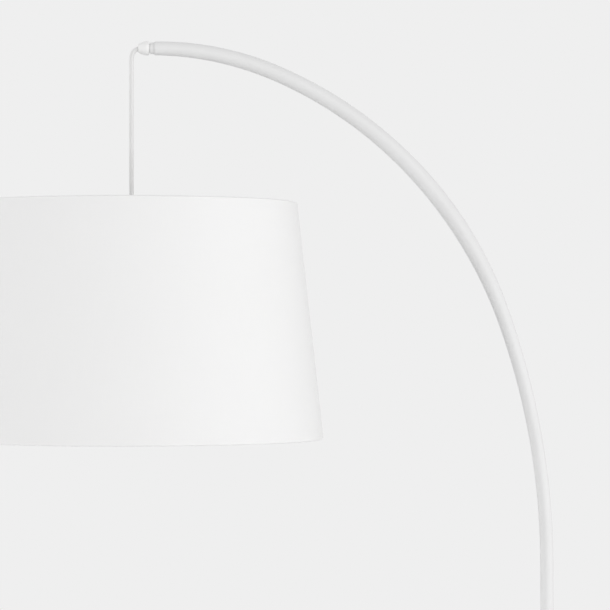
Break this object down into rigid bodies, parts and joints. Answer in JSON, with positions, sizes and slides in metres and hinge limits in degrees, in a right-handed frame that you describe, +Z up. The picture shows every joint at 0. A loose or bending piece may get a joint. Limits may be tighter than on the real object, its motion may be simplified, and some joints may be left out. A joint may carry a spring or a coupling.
{
  "type": "arc floor lamp",
  "caption": "Arc floor lamp: weighted round base, slim white pole, swivelling arc arm and a tapered fabric drum shade that hangs on its flex from the arm's tip.",
  "frame": {"origin": "on the floor, at the pole's axis under the base", "axes": "+Z up along the pole; the arm reaches towards -X; the arc lies in the XZ plane and is seen from -Y"},
  "size_m": [0.9439, 0.5004, 1.9757],
  "materials": {
    "white_paint": "satin white powder coat",
    "white_plastic": "glossy moulded white",
    "white_flex": "matt white flex sheath",
    "white_rubber": "matt white rubber",
    "nylon": "natural nylon",
    "shade_cloth": "white woven cloth laminated on clear film",
    "white_wire": "white coated wire",
    "steel": "zinc-plated turned steel",
    "cast_iron": "rough cast, black primer",
    "rubber_sole": "black rubber sheet",
    "brass": "pressed brass",
    "porcelain": "unglazed porcelain",
    "terminal_plastic": "natural polyamide",
    "core_insulation": "coloured core insulation",
    "nickel_cap": "nickel-plated rolled thread",
    "bulb_plastic": "white moulded heat spreader",
    "opal_diffuser": "opal frosted diffuser",
    "board_aluminium": "white solder mask with yellow diode chips"
  },
  "bodies": {
    "root": {"base_sole": "rubber_sole", "base_weight": "cast_iron", "base_cover": "white_paint", "base_collar": "white_paint", "hollow_stud": "steel", "stud_washer": "steel", "stud_nut": "steel", "mains_inlet_bush": "white_rubber", "terminal_block": "terminal_plastic", "terminal_screws": "brass", "core_wires": "core_insulation", "lower_pole": "white_paint", "foot_plug": "steel", "pole_coupler": "steel", "upper_pole": "white_paint", "swivel_spigot": "steel", "swivel_washer": "nylon", "pole_flex": "white_flex"},
    "arm": {"swivel_bush": "steel", "swivel_screw": "steel", "arm_tube": "white_paint", "arm_flex": "white_flex", "arm_end_plug": "white_paint", "gland_body": "white_plastic", "gland_ring": "white_rubber", "gland_nut": "white_plastic"},
    "flex_head": {"flex_bend": "white_flex"},
    "hanger": {"flex_drop": "white_flex"},
    "pendant": {"holder_cap": "white_plastic", "cord_grip": "white_plastic", "grip_screw": "nylon", "holder_skirt": "white_plastic", "contact_block": "porcelain", "centre_contact": "brass", "screw_shell": "brass", "upper_shade_nut": "white_plastic", "lower_shade_nut": "white_plastic", "bulb_cap": "nickel_cap", "bulb_housing": "bulb_plastic", "diode_board": "board_aluminium", "bulb_globe": "opal_diffuser", "shade_fabric": "shade_cloth", "shade_carrier": "white_wire", "shade_bottom_ring": "white_wire", "shade_top_hem": "shade_cloth", "shade_bottom_hem": "shade_cloth", "shade_seam": "shade_cloth"}
  },
  "joints": [
    {"name": "arm_swivel", "type": "hinge", "parent": "root", "child": "arm", "pos_m": [0, 0, 1.15], "axis": [0, 0, 1], "range_deg": [-175, 175]},
    {"name": "pendant_sway", "type": "hinge", "parent": "arm", "child": "flex_head", "pos_m": [-0.54, 0, 1.9665], "axis": [1, 0, 0], "range_deg": [-20, 20]},
    {"name": "pendant_swing", "type": "hinge", "parent": "flex_head", "child": "hanger", "pos_m": [-0.54, 0, 1.949], "axis": [0, 1, 0], "range_deg": [-20, 20]},
    {"name": "pendant_twist", "type": "hinge", "parent": "hanger", "child": "pendant", "pos_m": [-0.54, 0, 1.735], "axis": [0, 0, 1], "range_deg": [-90, 90], "stiffness_Nm_per_rad": 0.004}
  ]
}
